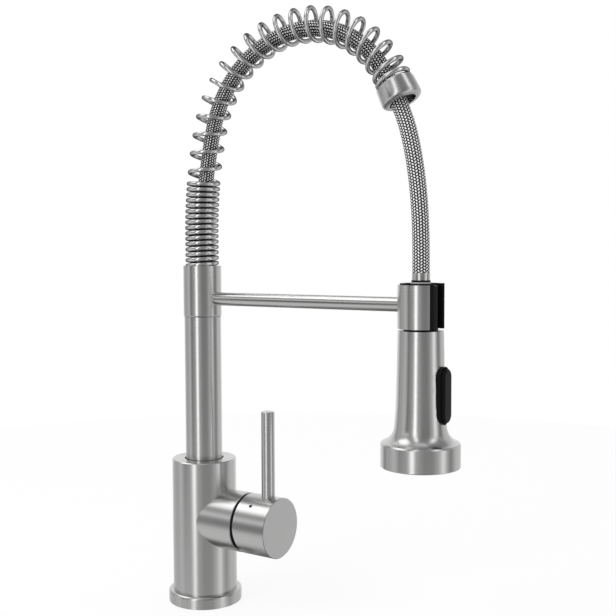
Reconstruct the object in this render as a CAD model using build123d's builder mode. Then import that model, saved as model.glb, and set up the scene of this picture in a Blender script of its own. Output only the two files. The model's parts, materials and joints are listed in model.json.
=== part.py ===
from build123d import *
import os
from math import cos, pi, radians, sin, sqrt, tan

os.makedirs("parts", exist_ok=True)

# Clearances
running_gap = 0.05
moving_gap = 0.3

# Base and body
base_radius = 28.1
base_height = 9.0
base_edge_round = 1.8
spigot_radius = 21.0
gasket_radius = 23.2
gasket_width = 2.6
gasket_depth = 1.6
body_radius = 24.5
body_top = 110.7
body_edge = 0.6

# Deck connections on the underside
inlet_x = 5.0
inlet_y = 7.5
inlet_thread_radius = 4.5
inlet_thread_depth = 14.0
stud_x = -11.0
stud_thread_radius = 3.4
stud_thread_depth = 22.0

# Valve stub and cartridge, along X
valve_z = 65.7
stub_radius = 22.34
stub_end = 41.5
stub_edge = 0.4
cartridge_floor = 12.0
cartridge_radius = 17.5
nut_seat = 32.0
nut_bore = 19.6
seal_thickness = 1.0
seal_radius = 15.5
housing_base = 2.0
housing_wall = 1.6
housing_front = 2.2
housing_neck_radius = 12.0
housing_neck_end = 38.8
disc_radius = 15.4
disc_thickness = 3.0
moving_disc_radius = 11.0
carrier_radius = 12.0
carrier_thickness = 4.2
port_radius = 2.6
inlet_port_y = 6.0
inlet_port_z = -4.2
outlet_port_z = 6.5
rotor_neck_radius = 9.3
rotor_flange_end = 29.4
rotor_end = 38.4
rotor_slot_width = 7.2
rotor_slot_height = 11.4
nut_length = 6.0
nut_slot_width = 3.0
nut_slot_depth = 1.6

# Lever and its tilting stem
tilt_pivot_x = 34.0
lever_tilt_max = 11.0
stem_width = 7.0
stem_square_start = 26.0
stem_square_end = 46.0
stem_round_radius = 4.0
stem_round_end = 66.0
stem_ball_radius = 2.5
stem_ball_chamfer = 0.8
stem_ball_x = 22.6
stem_ball_half_length = 1.2
stem_waist_radius = 1.8
stem_pin_radius = 1.5
hub_rear = 43.9
hub_front = 71.8
hub_edge = 0.4
hub_relief_angle = 6.5
hub_cavity_radius = 23.0
hub_cavity_floor = 50.0
dome_radius = 22.5
dome_front = 45.4
dome_opening = 13.5
lever_x = 60.9
lever_radius = 5.0
lever_rise = 86.0
lever_top = valve_z + lever_rise
lever_edge = 0.4
lever_seat_depth = 6.0
lever_thread_radius = 3.0
lever_thread_length = 8.0
hub_screw_x = 54.8
hub_screw_angle = 39.0
hub_screw_radius = 1.3
hub_screw_length = 8.0

# Turning joint of the riser, with its heights from the top of the body
socket_radius = 12.0
socket_floor = body_top - 24.7
bush_seat = body_top - 11.7
bush_radius = 15.0
bush_recess = 0.6
riser_radius = 14.0
riser_wall = 1.5
insert_gap = 0.15
insert_flange = 2.0
insert_plug_length = 10.0
insert_bore = 7.5
o_ring_section = 1.8
o_ring_chamfer = 0.5
o_ring_heights = (socket_floor + 2.9, socket_floor + 6.1)
groove_play = 0.2
outlet_channel_radius = 4.0
swivel_screw_z = bush_seat - 2.8
swivel_screw_radius = 2.0
swivel_screw_point = 1.2
swivel_groove_depth = 1.5
swivel_screw_recess = 1.0
socket_key_radius = 1.0
socket_key_depth = 1.5

# Collar and arm, carried by the riser
riser_exposed = 109.6
collar_length = 38.8
collar_bottom = body_top + riser_exposed
collar_top = collar_bottom + collar_length
collar_radius = 14.5
collar_lower_round = 1.2
collar_upper_round = 0.5
collar_spigot_length = 12.0
collar_bore = 6.5
neck_radius = 9.3
neck_height = 20.0
coupling_seat = collar_top - 18.1
coupling_radius = 8.0
coupling_washer_thickness = 1.2
coupling_bore = 4.0
coupling_sleeve_start = collar_top - 7.1
coupling_sleeve_end = collar_top + 2.9
coupling_sleeve_radius = 7.2
hose_start = collar_top - 4.1
arm_z = collar_bottom + 13.7
arm_radius = 5.0
arm_insertion = 5.9
reach = 186.2

# Dock at the end of the arm
holder_bottom = arm_z - 15.5
holder_top = arm_z + 13.5
holder_radius = 15.6
holder_wall = 1.6
holder_opening_angle = 42.0
liner_radius = 11.8
liner_stand_up = 1.0
liner_slot_width = 12.8
liner_lip_round = 1.2
arm_end_in_wall = 1.2
holder_screw_radius = 2.0
holder_screw_head_radius = 4.0
holder_screw_head_in = 12.1
holder_screw_head_thickness = 1.2
holder_screw_length = 12.0

# Route of the arch: straight, then three tangent arcs
arch_straight = 25.0
lean_radius = 323.0
lean_angle = 14.0
rise_radius = 87.5
rise_angle = 76.0
fall_radius = 78.0
fall_angle = 64.0

# Spring
wire_radius = 1.6
wire_sides = 6
coil_radius = 11.2
coil_end_draw_in = 0.5
closed_pitch = 4.17
open_pitch = 13.71
pitch_loss_per_turn = 0.05
open_start = 68.4
ramp_turns = 0.5
open_turns = 18.0
end_ramp_turns = 1.0
seat_play = 0.3

# Spring end cap, along the end of the route
cap_length = 18.0
cap_top_radius = 13.4
cap_bottom_radius = 14.0
cap_widest_at = 12.0
cap_lower_round = 2.6
cap_cup_radius = 12.95
cap_cup_depth = 8.0
cap_bore = 9.35

# Spray head, hung below the dock, with its heights from its shoulder and its rim
head_neck_radius = 11.5
head_neck_top = holder_top - moving_gap
head_neck_chamfer = 0.8
head_top = holder_bottom - 1.3
head_wall = 1.6
head_top_radius = 15.3
head_waist_radius = 16.35
waist_drop = 45.2
head_waist_z = head_top - waist_drop
head_flare_radius = 17.6
flare_drop = 64.7
head_flare_z = head_top - flare_drop
head_shoulder_radius = 26.0
shoulder_drop = 74.8
head_shoulder_z = head_top - shoulder_drop
rim_radius = 26.8
rim_drop = 75.8
rim_top = head_top - rim_drop
head_length = 91.2
rim_bottom = head_top - head_length
rim_wall = 1.8
rim_lower_round = 0.6
stem_chamber_radius = 6.6
stem_chamber_top = head_top + 14.8
stem_chamber_bottom = head_top - 0.2
check_valve_length = 9.0
check_valve_bore = 3.0
core_shoulder_radius = 13.0
core_shoulder_bottom = head_top - 7.2
core_radius = 8.6
core_bore = 5.5
core_bell_top = rim_bottom + 20.0
bell_top = rim_bottom + 13.0
face_top = rim_bottom + 7.0
face_bottom = rim_bottom + 1.0
face_thickness = 3.0
nozzle_inner_radius = 12.0
bell_radius = rim_radius - rim_wall
face_lip = 2.0
nozzle_outer_radius = bell_radius - face_lip
nozzle_recess = 1.6
nozzle_size = 0.9
nozzle_length = 0.8
nozzle_circle_radii = (14.6, 20.2)
nozzle_counts = (12, 18)
aerator_radius = 9.2
aerator_bottom = rim_bottom + 0.6
aerator_top = rim_bottom + 11.0
aerator_wall = 1.8

# Hose, with its free points as distances behind the head's axis and above the ferrule
hose_radius = 5.9
hose_inward = 2.8
hose_split = 9.0
hose_first_run = 18.2
hose_points = (
    (7.0, 84.5),
    (3.3, 64.5),
    (1.0, 42.5),
    (0.0, 20.5),
)
ferrule_radius = 6.05
ferrule_length = 5.0
ferrule_bottom = head_neck_top + 3.3
ferrule_top = ferrule_bottom + ferrule_length
hose_bore = 3.5
hose_washer_radius = 6.3
hose_washer_thickness = 1.2
hose_nut_radius = 6.6
hose_nut_thickness = 1.8
hose_stem_radius = 4.7
hose_stem_bottom = stem_chamber_top - 3.0
hose_stem_bore = 2.4
head_seal_section = 1.2
head_seal_z = head_neck_top - 5.2
clip_radius = 6.0
clip_thickness = 1.3
clip_groove_radius = 3.6

# Button and diverter
button_z = head_top - 42.45
bezel_height = 38.5
bezel_width = 14.0
bezel_wall = 0.9
bezel_end_wall = 0.6
bezel_back = 12.0
bezel_front = 17.9
button_end_play = 0.6
button_front = 20.2
button_back = 12.8
button_edge_round = 1.4
rocker_x = 15.0
rocker_angle = 4.5
rocker_pin_radius = 1.0
finger_width = 4.0
finger_height = 2.4
finger_tip_radius = 1.5
finger_tip_x = 4.0
finger_window_width = 4.8
finger_window_height = 9.0
spool_half_length = 15.0
spool_waist_radius = 2.2
spool_bore = 1.0

# Values that follow from the ones above
valve_axis = Axis((0, 0, valve_z), (1, 0, 0))
head_axis = Axis((reach, 0, 0), (0, 0, 1))
head_plane = Plane(origin=(reach, 0, 0), x_dir=(1, 0, 0), z_dir=(0, -1, 0))
riser_bore = riser_radius - riser_wall
insert_radius = socket_radius - insert_gap
insert_bottom = socket_floor + moving_gap
flange_bottom = bush_seat + moving_gap
riser_bottom = flange_bottom + insert_flange
seal_end = cartridge_floor + seal_thickness
housing_floor_end = seal_end + housing_base
fixed_disc_end = housing_floor_end + disc_thickness
moving_disc_start = fixed_disc_end + running_gap
moving_disc_end = moving_disc_start + disc_thickness
carrier_end = moving_disc_end + carrier_thickness
rotor_start = carrier_end + running_gap
housing_front_start = nut_seat - housing_front
chamber_radius = cartridge_radius - housing_wall
hub_top = valve_z + stub_radius
lever_seat = hub_top - lever_seat_depth
neck_top = collar_top + neck_height
liner_outer_radius = holder_radius - holder_wall
liner_top = holder_top + liner_stand_up
hose_nut_top = ferrule_bottom - hose_washer_thickness
hose_nut_bottom = hose_nut_top - hose_nut_thickness


# A closed outline on a plane
def outline(points, plane=Plane.XZ):
    with BuildSketch(plane) as sketch:
        with BuildLine():
            Polyline(*points, close=True)
        make_face()
    return sketch.sketch


# A ring between two radii and two heights about the upright axis of a plane
def ring(inner, outer, low, high, plane=Plane.XZ):
    return outline(((inner, low), (outer, low), (outer, high), (inner, high)), plane)


# A ring about the valve axis, from one X to another
def valve_ring(inner, outer, start, end):
    points = (
        (start, valve_z + inner),
        (end, valve_z + inner),
        (end, valve_z + outer),
        (start, valve_z + outer),
    )
    return outline(points)


# The three water ports of the cartridge, at one X
def port_sketch(at_x, radius):
    places = (
        (inlet_port_y, valve_z + inlet_port_z),
        (-inlet_port_y, valve_z + inlet_port_z),
        (0, valve_z + outlet_port_z),
    )
    with BuildSketch(Plane.YZ.offset(at_x)) as sketch:
        with Locations(*places):
            Circle(radius)
    return sketch.sketch


# Base ring with its rounded upper edge and the groove for the seal
with BuildPart() as base_ring:
    with BuildSketch(Plane.XZ) as ring_profile:
        with Locations((spigot_radius, 0)):
            Rectangle(base_radius - spigot_radius, base_height, align=Align.MIN)
        with Locations((gasket_radius, 0)):
            Rectangle(gasket_width, gasket_depth, align=Align.MIN, mode=Mode.SUBTRACT)
        outer_corner = ring_profile.vertices().group_by(Axis.Y)[-1].sort_by(Axis.X)[-1]
        fillet(outer_corner, base_edge_round)
    revolve(axis=Axis.Z)
base_ring.part.label = "base_ring"

with BuildPart() as base_gasket:
    revolve(ring(gasket_radius, gasket_radius + gasket_width, 0, gasket_depth), axis=Axis.Z)
base_gasket.part.label = "base_gasket"

# Valve body: barrel and spigot, with the water ways and the threads bored into it
with BuildPart() as valve_body:
    with BuildSketch(Plane.XY.offset(base_height)):
        Circle(body_radius)
    extrude(amount=body_top - base_height)
    chamfer(valve_body.edges().group_by(Axis.Z)[-1], body_edge)
    with BuildSketch(Plane.XY):
        Circle(spigot_radius)
    extrude(amount=base_height)
    revolve(valve_ring(0, cartridge_radius, cartridge_floor, stub_end), axis=valve_axis, mode=Mode.SUBTRACT)
    revolve(ring(0, bush_radius, bush_seat, body_top), axis=Axis.Z, mode=Mode.SUBTRACT)
    revolve(ring(0, socket_radius, socket_floor, bush_seat), axis=Axis.Z, mode=Mode.SUBTRACT)
    with BuildSketch(Plane.XY):
        with Locations((inlet_x, inlet_y), (inlet_x, -inlet_y)):
            Circle(inlet_thread_radius)
    extrude(amount=inlet_thread_depth, mode=Mode.SUBTRACT)
    with BuildSketch(Plane.XY):
        with Locations((inlet_x, inlet_port_y), (inlet_x, -inlet_port_y)):
            Circle(port_radius)
    extrude(amount=valve_z + inlet_port_z, mode=Mode.SUBTRACT)
    extrude(port_sketch(inlet_x, port_radius), amount=cartridge_floor - inlet_x, mode=Mode.SUBTRACT)
    with BuildSketch(Plane.XY.offset(socket_floor)):
        with Locations((inlet_x, 0)):
            Circle(outlet_channel_radius)
    extrude(amount=valve_z + outlet_port_z - socket_floor, mode=Mode.SUBTRACT)
    with BuildSketch(Plane.XY):
        with Locations((stud_x, 0)):
            Circle(stud_thread_radius)
    extrude(amount=stud_thread_depth, mode=Mode.SUBTRACT)
    with BuildSketch(Plane.YZ.offset(-body_radius)):
        with Locations((0, swivel_screw_z)):
            Circle(swivel_screw_radius)
    extrude(amount=body_radius - insert_radius, mode=Mode.SUBTRACT)
valve_body.part.label = "valve_body"

# Side stub, brazed to the barrel along its saddle, which holds the cartridge and its nut
with BuildPart() as valve_stub:
    revolve(valve_ring(0, stub_radius, 0, stub_end), axis=valve_axis)
    chamfer(valve_stub.edges().group_by(Axis.X)[-1], stub_edge)
    revolve(valve_ring(0, cartridge_radius, 0, stub_end), axis=valve_axis, mode=Mode.SUBTRACT)
    revolve(valve_ring(0, nut_bore, nut_seat, stub_end), axis=valve_axis, mode=Mode.SUBTRACT)
    revolve(ring(0, body_radius, base_height, body_top), axis=Axis.Z, mode=Mode.SUBTRACT)
valve_stub.part.label = "valve_stub"

# Bush that guides the riser, seen as a dark ring on top of the body
with BuildPart() as swivel_bush:
    bush_top = body_top - bush_recess
    revolve(ring(riser_radius + running_gap, bush_radius, bush_seat, bush_top), axis=Axis.Z)
swivel_bush.part.label = "swivel_bush"

# Grub screw whose point runs in the groove of the insert
with BuildPart() as swivel_screw:
    groove_floor = insert_radius - swivel_groove_depth
    screw_outer = body_radius - swivel_screw_recess
    with BuildSketch(Plane.YZ.offset(-screw_outer)):
        with Locations((0, swivel_screw_z)):
            Circle(swivel_screw_radius)
    extrude(amount=screw_outer - socket_radius - moving_gap)
    with BuildSketch(Plane.YZ.offset(-socket_radius - moving_gap)):
        with Locations((0, swivel_screw_z)):
            Circle(swivel_screw_point)
    extrude(amount=socket_radius - groove_floor)
    with BuildSketch(Plane.YZ.offset(-screw_outer)):
        with Locations((0, swivel_screw_z)):
            RegularPolygon(socket_key_radius, 6)
    extrude(amount=socket_key_depth, mode=Mode.SUBTRACT)
swivel_screw.part.label = "swivel_screw"

# Cartridge: seal, housing, ceramic discs, rotor and pin
with BuildPart() as cartridge_seal:
    revolve(valve_ring(0, seal_radius, cartridge_floor, seal_end), axis=valve_axis)
    extrude(port_sketch(cartridge_floor, port_radius), amount=seal_thickness, mode=Mode.SUBTRACT)
cartridge_seal.part.label = "cartridge_seal"

with BuildPart() as cartridge_housing:
    revolve(valve_ring(0, cartridge_radius, seal_end, nut_seat), axis=valve_axis)
    revolve(valve_ring(0, housing_neck_radius, nut_seat, housing_neck_end), axis=valve_axis)
    revolve(
        valve_ring(0, chamber_radius, housing_floor_end, housing_front_start),
        axis=valve_axis,
        mode=Mode.SUBTRACT,
    )
    revolve(
        valve_ring(0, rotor_neck_radius + running_gap, housing_front_start, housing_neck_end),
        axis=valve_axis,
        mode=Mode.SUBTRACT,
    )
    extrude(port_sketch(seal_end, port_radius), amount=housing_base, mode=Mode.SUBTRACT)
cartridge_housing.part.label = "cartridge_housing"

with BuildPart() as fixed_disc:
    revolve(valve_ring(0, disc_radius, housing_floor_end, fixed_disc_end), axis=valve_axis)
    extrude(port_sketch(housing_floor_end, port_radius), amount=disc_thickness, mode=Mode.SUBTRACT)
fixed_disc.part.label = "fixed_disc"

# The moving disc joins the ports through a blind recess in its face
with BuildPart() as moving_disc:
    revolve(valve_ring(0, moving_disc_radius, moving_disc_start, moving_disc_end), axis=valve_axis)
    with BuildSketch(Plane.YZ.offset(moving_disc_start)):
        with Locations((0, valve_z + outlet_port_z / 2)):
            SlotOverall(2 * moving_disc_radius - 4 * port_radius, 2 * port_radius, rotation=90)
    extrude(amount=disc_thickness / 2, mode=Mode.SUBTRACT)
moving_disc.part.label = "moving_disc"

with BuildPart() as disc_carrier:
    revolve(valve_ring(0, carrier_radius, moving_disc_end, carrier_end), axis=valve_axis)
    pocket_radius = stem_ball_radius + 2 * running_gap
    pocket_start = stem_ball_x - stem_ball_half_length - moving_gap
    revolve(valve_ring(0, pocket_radius, pocket_start, carrier_end), axis=valve_axis, mode=Mode.SUBTRACT)
disc_carrier.part.label = "disc_carrier"

with BuildPart() as stem_rotor:
    rotor_flange_radius = chamber_radius - 2 * running_gap
    revolve(valve_ring(0, rotor_flange_radius, rotor_start, rotor_flange_end), axis=valve_axis)
    revolve(valve_ring(0, rotor_neck_radius, rotor_flange_end, rotor_end), axis=valve_axis)
    with BuildSketch(Plane.YZ.offset(rotor_start)):
        with Locations((0, valve_z)):
            Rectangle(rotor_slot_width, rotor_slot_height)
    extrude(amount=rotor_end - rotor_start, mode=Mode.SUBTRACT)
    with BuildSketch(Plane.XZ):
        with Locations((tilt_pivot_x, valve_z)):
            Circle(stem_pin_radius)
    extrude(amount=rotor_neck_radius, both=True, mode=Mode.SUBTRACT)
stem_rotor.part.label = "stem_rotor"

with BuildPart() as stem_pin:
    pin_half_length = rotor_neck_radius - moving_gap
    with BuildSketch(Plane.XZ):
        with Locations((tilt_pivot_x, valve_z)):
            Circle(stem_pin_radius)
    extrude(amount=pin_half_length, both=True)
stem_pin.part.label = "stem_pin"

with BuildPart() as cartridge_nut:
    nut_end = nut_seat + nut_length
    revolve(valve_ring(housing_neck_radius, nut_bore, nut_seat, nut_end), axis=valve_axis)
    with BuildSketch(Plane.YZ.offset(nut_end)):
        with Locations((0, valve_z)):
            Rectangle(nut_slot_width, 2 * nut_bore)
            Rectangle(2 * nut_bore, nut_slot_width)
    extrude(amount=-nut_slot_depth, mode=Mode.SUBTRACT)
cartridge_nut.part.label = "cartridge_nut"

# Cover behind the hub: a zone of a ball about the tilt pivot, clipped into the stub
with BuildPart() as dome_cover:
    dome_rim = sqrt(dome_radius**2 - (stub_end - tilt_pivot_x) ** 2)
    dome_front_radius = sqrt(dome_radius**2 - (dome_front - tilt_pivot_x) ** 2)
    middle_x = (stub_end + dome_front) / 2
    middle_radius = sqrt(dome_radius**2 - (middle_x - tilt_pivot_x) ** 2)
    with BuildSketch(Plane.XZ):
        with BuildLine():
            Polyline(
                (dome_front, valve_z + dome_front_radius),
                (dome_front, valve_z + dome_opening),
                (nut_end, valve_z + dome_opening),
                (nut_end, valve_z + nut_bore),
                (stub_end, valve_z + nut_bore),
                (stub_end, valve_z + dome_rim),
            )
            ThreePointArc(
                (stub_end, valve_z + dome_rim),
                (middle_x, valve_z + middle_radius),
                (dome_front, valve_z + dome_front_radius),
            )
        make_face()
    revolve(axis=valve_axis)
dome_cover.part.label = "dome_cover"

# Lever stem: ball end in the carrier, square through the rotor, round in the hub
with BuildPart() as lever_stem:
    ball_start = stem_ball_x - stem_ball_half_length
    ball_end = stem_ball_x + stem_ball_half_length
    revolve(
        outline(
            (
                (ball_start, valve_z),
                (ball_start, valve_z + stem_ball_radius - stem_ball_chamfer),
                (ball_start + stem_ball_chamfer, valve_z + stem_ball_radius),
                (ball_end - stem_ball_chamfer, valve_z + stem_ball_radius),
                (ball_end, valve_z + stem_ball_radius - stem_ball_chamfer),
                (ball_end, valve_z + stem_waist_radius),
                (stem_square_start, valve_z + stem_waist_radius),
                (stem_square_start, valve_z),
            )
        ),
        axis=valve_axis,
    )
    with BuildSketch(Plane.YZ.offset(stem_square_start)):
        with Locations((0, valve_z)):
            Rectangle(stem_width, stem_width)
    extrude(amount=stem_square_end - stem_square_start)
    with BuildSketch(Plane.YZ.offset(stem_square_end)):
        with Locations((0, valve_z)):
            Circle(stem_round_radius)
    extrude(amount=stem_round_end - stem_square_end)
    with BuildSketch(Plane.XZ):
        with Locations((tilt_pivot_x, valve_z)):
            Circle(stem_pin_radius + running_gap)
    extrude(amount=stem_width, both=True, mode=Mode.SUBTRACT)
lever_stem.part.label = "lever_stem"

# Hub: drum with a ball-shaped mouth over the dome and a rear face relieved below the axis
with BuildPart() as lever_hub:
    revolve(valve_ring(0, stub_radius, hub_rear, hub_front), axis=valve_axis)
    chamfer(lever_hub.edges().group_by(Axis.X)[-1], hub_edge)
    with BuildSketch(Plane.XZ):
        mouth_radius = sqrt(hub_cavity_radius**2 - (hub_rear - tilt_pivot_x) ** 2)
        floor_radius = sqrt(hub_cavity_radius**2 - (hub_cavity_floor - tilt_pivot_x) ** 2)
        halfway_x = (hub_rear + hub_cavity_floor) / 2
        halfway_radius = sqrt(hub_cavity_radius**2 - (halfway_x - tilt_pivot_x) ** 2)
        with BuildLine():
            ThreePointArc(
                (hub_rear, valve_z + mouth_radius),
                (halfway_x, valve_z + halfway_radius),
                (hub_cavity_floor, valve_z + floor_radius),
            )
            Polyline(
                (hub_cavity_floor, valve_z + floor_radius),
                (hub_cavity_floor, valve_z),
                (hub_rear, valve_z),
                (hub_rear, valve_z + mouth_radius),
            )
        make_face()
    revolve(axis=valve_axis, mode=Mode.SUBTRACT)
    relief = stub_radius * tan(radians(hub_relief_angle))
    below_hub = valve_z - stub_radius
    extrude(
        outline(((hub_rear, valve_z), (hub_rear, below_hub), (hub_rear + relief, below_hub))),
        amount=stub_radius,
        both=True,
        mode=Mode.SUBTRACT,
    )
    revolve(
        valve_ring(0, stem_round_radius, hub_cavity_floor, stem_round_end),
        axis=valve_axis,
        mode=Mode.SUBTRACT,
    )
    with BuildSketch(Plane.XY.offset(lever_seat)):
        with Locations((lever_x, 0)):
            Circle(lever_radius)
    extrude(amount=2 * lever_seat_depth, mode=Mode.SUBTRACT)
    with BuildSketch(Plane.XY.offset(lever_seat)):
        with Locations((lever_x, 0)):
            Circle(lever_thread_radius)
    extrude(amount=-lever_thread_length, mode=Mode.SUBTRACT)
    screw_direction = Vector(0, -sin(radians(hub_screw_angle)), cos(radians(hub_screw_angle)))
    screw_base = Vector(hub_screw_x, 0, valve_z) + screw_direction * stem_round_radius
    screw_plane = Plane(origin=screw_base, x_dir=(1, 0, 0), z_dir=screw_direction)
    with BuildSketch(screw_plane):
        Circle(hub_screw_radius)
    extrude(amount=stub_radius, mode=Mode.SUBTRACT)
lever_hub.part.label = "lever_hub"

with BuildPart() as lever_rod:
    with BuildSketch(Plane.XY.offset(lever_seat)):
        with Locations((lever_x, 0)):
            Circle(lever_radius)
    extrude(amount=lever_top - lever_seat)
    chamfer(lever_rod.edges().group_by(Axis.Z)[-1], lever_edge)
    with BuildSketch(Plane.XY.offset(lever_seat)):
        with Locations((lever_x, 0)):
            Circle(lever_thread_radius)
    extrude(amount=-lever_thread_length)
lever_rod.part.label = "lever_rod"

with BuildPart() as hub_screw:
    with BuildSketch(screw_plane):
        Circle(hub_screw_radius)
    extrude(amount=hub_screw_length)
hub_screw.part.label = "hub_screw"

# Insert in the foot of the riser, with its grooves
with BuildPart() as swivel_insert:
    plug_top = riser_bottom + insert_plug_length
    revolve(
        outline(
            (
                (insert_bore, insert_bottom),
                (insert_radius, insert_bottom),
                (insert_radius, flange_bottom),
                (riser_radius, flange_bottom),
                (riser_radius, riser_bottom),
                (riser_bore, riser_bottom),
                (riser_bore, plug_top),
                (insert_bore, plug_top),
            )
        ),
        axis=Axis.Z,
    )
    o_ring_outer = socket_radius - running_gap
    o_ring_inner = o_ring_outer - o_ring_section
    half_groove = o_ring_section / 2 + groove_play
    for height in o_ring_heights:
        groove = ring(o_ring_inner, socket_radius, height - half_groove, height + half_groove)
        revolve(groove, axis=Axis.Z, mode=Mode.SUBTRACT)
    half_track = swivel_screw_point + moving_gap
    track = ring(
        groove_floor,
        socket_radius,
        swivel_screw_z - half_track,
        swivel_screw_z + half_track,
    )
    revolve(track, axis=Axis.Z, mode=Mode.SUBTRACT)
swivel_insert.part.label = "swivel_insert"

with BuildPart() as swivel_o_rings:
    with BuildSketch(Plane.XZ) as o_ring_profile:
        with Locations(*[(o_ring_outer - o_ring_section / 2, height) for height in o_ring_heights]):
            Rectangle(o_ring_section, o_ring_section)
        chamfer(o_ring_profile.vertices(), o_ring_chamfer)
    revolve(axis=Axis.Z)
swivel_o_rings.part.label = "swivel_o_rings"

with BuildPart() as riser_tube:
    revolve(ring(riser_bore, riser_radius, riser_bottom, collar_bottom), axis=Axis.Z)
riser_tube.part.label = "riser_tube"

# Collar: plugs the riser, takes the arm, and carries the spring round its neck
with BuildPart() as arm_collar:
    with BuildSketch(Plane.XZ) as collar_profile:
        with Locations((collar_bore, collar_bottom)):
            Rectangle(collar_radius - collar_bore, collar_top - collar_bottom, align=Align.MIN)
        outer_corners = collar_profile.vertices().group_by(Axis.X)[-1].sort_by(Axis.Y)
        fillet(outer_corners[0], collar_lower_round)
        fillet(outer_corners[1], collar_upper_round)
        with Locations((collar_bore, collar_bottom - collar_spigot_length)):
            Rectangle(riser_bore - collar_bore, collar_spigot_length, align=Align.MIN)
        with Locations((collar_bore, collar_top)):
            Rectangle(neck_radius - collar_bore, neck_height, align=Align.MIN)
        with Locations((collar_bore, coupling_seat)):
            Rectangle(
                coupling_radius - collar_bore,
                neck_top - coupling_seat,
                align=Align.MIN,
                mode=Mode.SUBTRACT,
            )
    revolve(axis=Axis.Z)
    arm_start = collar_radius - arm_insertion
    with BuildSketch(Plane.YZ.offset(arm_start)):
        with Locations((0, arm_z)):
            Circle(arm_radius)
    extrude(amount=2 * arm_insertion, mode=Mode.SUBTRACT)
arm_collar.part.label = "arm_collar"

# Arm, brazed into the wall of the dock, with the tapped hole for the liner's screw
with BuildPart() as arm_rod:
    arm_end = reach - holder_radius + arm_end_in_wall
    with BuildSketch(Plane.YZ.offset(arm_start)):
        with Locations((0, arm_z)):
            Circle(arm_radius)
    extrude(amount=arm_end - arm_start)
    with BuildSketch(Plane.YZ.offset(arm_end)):
        with Locations((0, arm_z)):
            Circle(holder_screw_radius)
    extrude(amount=-holder_screw_length, mode=Mode.SUBTRACT)
arm_rod.part.label = "arm_rod"

# Dock: C-shaped steel shell
dock_floor = Plane(origin=(reach, 0, holder_bottom))
opening_reach = 2 * holder_radius
opening_points = (
    (0, 0),
    (opening_reach, -opening_reach * tan(radians(holder_opening_angle))),
    (opening_reach, opening_reach * tan(radians(holder_opening_angle))),
)
with BuildPart() as holder_shell:
    with BuildSketch(dock_floor):
        Circle(holder_radius)
        Circle(liner_outer_radius, mode=Mode.SUBTRACT)
        with BuildLine():
            Polyline(*opening_points, close=True)
        make_face(mode=Mode.SUBTRACT)
    extrude(amount=holder_top - holder_bottom)
    with BuildSketch(Plane.YZ.offset(arm_start)):
        with Locations((0, arm_z)):
            Circle(arm_radius)
    extrude(amount=reach - arm_start, mode=Mode.SUBTRACT)
holder_shell.part.label = "holder_shell"

# Liner: fills the opening of the shell up to the slot for the hose
with BuildPart() as holder_liner:
    with BuildSketch(dock_floor):
        with BuildLine():
            Polyline(*opening_points, close=True)
        make_face()
        Circle(holder_radius, mode=Mode.INTERSECT)
        Circle(liner_outer_radius)
        Circle(liner_radius, mode=Mode.SUBTRACT)
        with Locations((holder_radius, 0)):
            Rectangle(2 * holder_radius, liner_slot_width, mode=Mode.SUBTRACT)
    extrude(amount=liner_top - holder_bottom)
    upright_edges = holder_liner.edges().filter_by(Axis.Z)
    lip_edges = upright_edges.filter_by(lambda edge: abs(abs(edge.center().Y) - liner_slot_width / 2) < 0.01)
    fillet(lip_edges, liner_lip_round)
    screw_head_outer = reach - holder_screw_head_in - holder_screw_head_thickness
    with BuildSketch(Plane.YZ.offset(reach - liner_outer_radius)):
        with Locations((0, arm_z)):
            Circle(holder_screw_radius)
    extrude(amount=holder_wall, mode=Mode.SUBTRACT)
    with BuildSketch(Plane.YZ.offset(screw_head_outer)):
        with Locations((0, arm_z)):
            Circle(holder_screw_head_radius)
    extrude(amount=liner_radius, mode=Mode.SUBTRACT)
holder_liner.part.label = "holder_liner"

with BuildPart() as holder_screw:
    with BuildSketch(Plane.YZ.offset(screw_head_outer)):
        with Locations((0, arm_z)):
            Circle(holder_screw_head_radius)
    extrude(amount=holder_screw_head_thickness)
    with BuildSketch(Plane.YZ.offset(screw_head_outer)):
        with Locations((0, arm_z)):
            Circle(holder_screw_radius)
    extrude(amount=arm_end - holder_screw_length + 1 - screw_head_outer)
holder_screw.part.label = "holder_screw"

# Coupling of the hose in the neck of the collar, with its washer
with BuildPart() as coupling_washer:
    washer_top = coupling_seat + coupling_washer_thickness
    revolve(ring(coupling_bore, coupling_radius, coupling_seat, washer_top), axis=Axis.Z)
coupling_washer.part.label = "coupling_washer"

with BuildPart() as hose_coupling:
    revolve(
        outline(
            (
                (coupling_bore, washer_top),
                (coupling_radius, washer_top),
                (coupling_radius, coupling_sleeve_start),
                (coupling_sleeve_radius, coupling_sleeve_start),
                (coupling_sleeve_radius, coupling_sleeve_end),
                (hose_radius, coupling_sleeve_end),
                (hose_radius, hose_start),
                (coupling_bore, hose_start),
            )
        ),
        axis=Axis.Z,
    )
hose_coupling.part.label = "hose_coupling"

# Route of the arch as stretches of (length, radius), with no radius on a straight one
route = (
    (arch_straight, None),
    (lean_radius * radians(lean_angle), lean_radius),
    (rise_radius * radians(rise_angle), rise_radius),
    (fall_radius * radians(fall_angle), fall_radius),
    (cap_length, None),
)
cap_start = sum(length for length, radius in route[:-1])


# Centre, heading and curvature of the route at a distance from the collar's top
def on_route(distance):
    x = 0.0
    z = collar_top
    heading = 0.0
    for length, radius in route:
        step = distance if length is route[-1][0] else min(distance, length)
        if radius is None:
            x += step * sin(heading)
            z += step * cos(heading)
        else:
            turned = step / radius
            x += radius * (cos(heading) - cos(heading + turned))
            z += radius * (sin(heading + turned) - sin(heading))
            heading += turned
        distance -= step
        if distance <= 0:
            break
    bend = 0.0 if radius is None else 1 / radius
    return x, z, heading, bend


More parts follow.
